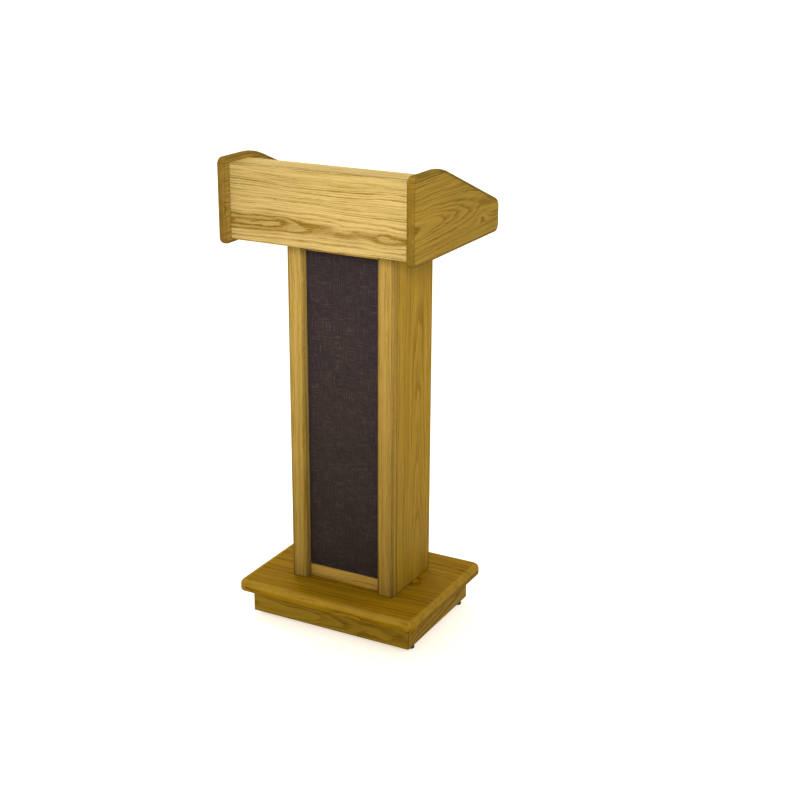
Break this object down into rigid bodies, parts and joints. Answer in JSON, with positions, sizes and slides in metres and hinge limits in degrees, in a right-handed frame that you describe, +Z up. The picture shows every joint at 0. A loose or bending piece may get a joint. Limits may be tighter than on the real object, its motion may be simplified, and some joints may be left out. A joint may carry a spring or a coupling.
{
  "type": "wooden lectern",
  "caption": "Full-height oak speaker's lectern: a sloped reading desk between shaped sides, a cloth-fronted loudspeaker column and a plinth on levelling glides.",
  "frame": {"origin": "on the floor, under the middle of the head (the widest and deepest piece)", "axes": "+Z up, -Y towards the audience (the front panel and cloth), +Y towards the speaker, +X to the right as the audience sees it"},
  "size_m": [0.516, 0.46, 1.194],
  "materials": {
    "oak": "golden oak, satin clear lacquer over open grain",
    "plywood": "unfinished plywood, inside the column only",
    "grille_cloth": "coarse woven acoustic cloth, brown-black, stretched flat",
    "speaker_black": "doped paper cone and painted frame, matt black",
    "magnet_steel": "zinc-plated magnet cover",
    "zinc_steel": "zinc-plated steel",
    "brass": "plain brass thread insert",
    "black_nylon": "moulded nylon"
  },
  "bodies": {
    "lectern": {"back_panel": "oak", "back_screw_bottom_left": "zinc_steel", "back_screw_bottom_right": "zinc_steel", "back_screw_top_left": "zinc_steel", "back_screw_top_right": "zinc_steel", "book_stop_rail": "oak", "bottom_rail": "oak", "column_bottom_board": "plywood", "column_side_left": "oak", "column_side_right": "oak", "column_top_board": "plywood", "corner_block_front_left": "oak", "corner_block_front_right": "oak", "corner_block_rear_left": "oak", "corner_block_rear_right": "oak", "front_stile_left": "oak", "front_stile_right": "oak", "glide_insert_front_left": "brass", "glide_insert_front_right": "brass", "glide_insert_rear_left": "brass", "glide_insert_rear_right": "brass", "grille_cloth": "grille_cloth", "head_bolt_front_left": "zinc_steel", "head_bolt_front_right": "zinc_steel", "head_bolt_rear_left": "zinc_steel", "head_bolt_rear_right": "zinc_steel", "head_bottom_board": "oak", "head_front_panel": "oak", "head_ledge": "oak", "head_side_left": "oak", "head_side_right": "oak", "plinth_bolt_front_left": "zinc_steel", "plinth_bolt_front_right": "zinc_steel", "plinth_bolt_rear_left": "zinc_steel", "plinth_bolt_rear_right": "zinc_steel", "plinth_top_board": "oak", "reading_cleat_left": "oak", "reading_cleat_right": "oak", "reading_surface": "oak", "skirt_front": "oak", "skirt_left": "oak", "skirt_rear": "oak", "skirt_right": "oak", "speaker_baffle": "plywood", "speaker_lower": "speaker_black", "speaker_magnet_lower": "magnet_steel", "speaker_magnet_upper": "magnet_steel", "speaker_upper": "speaker_black", "top_rail": "oak"},
    "glide_front_left": {"glide_pad_front_left": "black_nylon", "glide_stem_front_left": "zinc_steel"},
    "glide_front_right": {"glide_pad_front_right": "black_nylon", "glide_stem_front_right": "zinc_steel"},
    "glide_rear_left": {"glide_pad_rear_left": "black_nylon", "glide_stem_rear_left": "zinc_steel"},
    "glide_rear_right": {"glide_pad_rear_right": "black_nylon", "glide_stem_rear_right": "zinc_steel"}
  },
  "joints": [
    {"name": "glide_front_left_height", "type": "slide", "parent": "lectern", "child": "glide_front_left", "axis": [0, 0, -1], "range_m": [0, 0.012]},
    {"name": "glide_front_right_height", "type": "slide", "parent": "lectern", "child": "glide_front_right", "axis": [0, 0, -1], "range_m": [0, 0.012]},
    {"name": "glide_rear_left_height", "type": "slide", "parent": "lectern", "child": "glide_rear_left", "axis": [0, 0, -1], "range_m": [0, 0.012]},
    {"name": "glide_rear_right_height", "type": "slide", "parent": "lectern", "child": "glide_rear_right", "axis": [0, 0, -1], "range_m": [0, 0.012]}
  ]
}
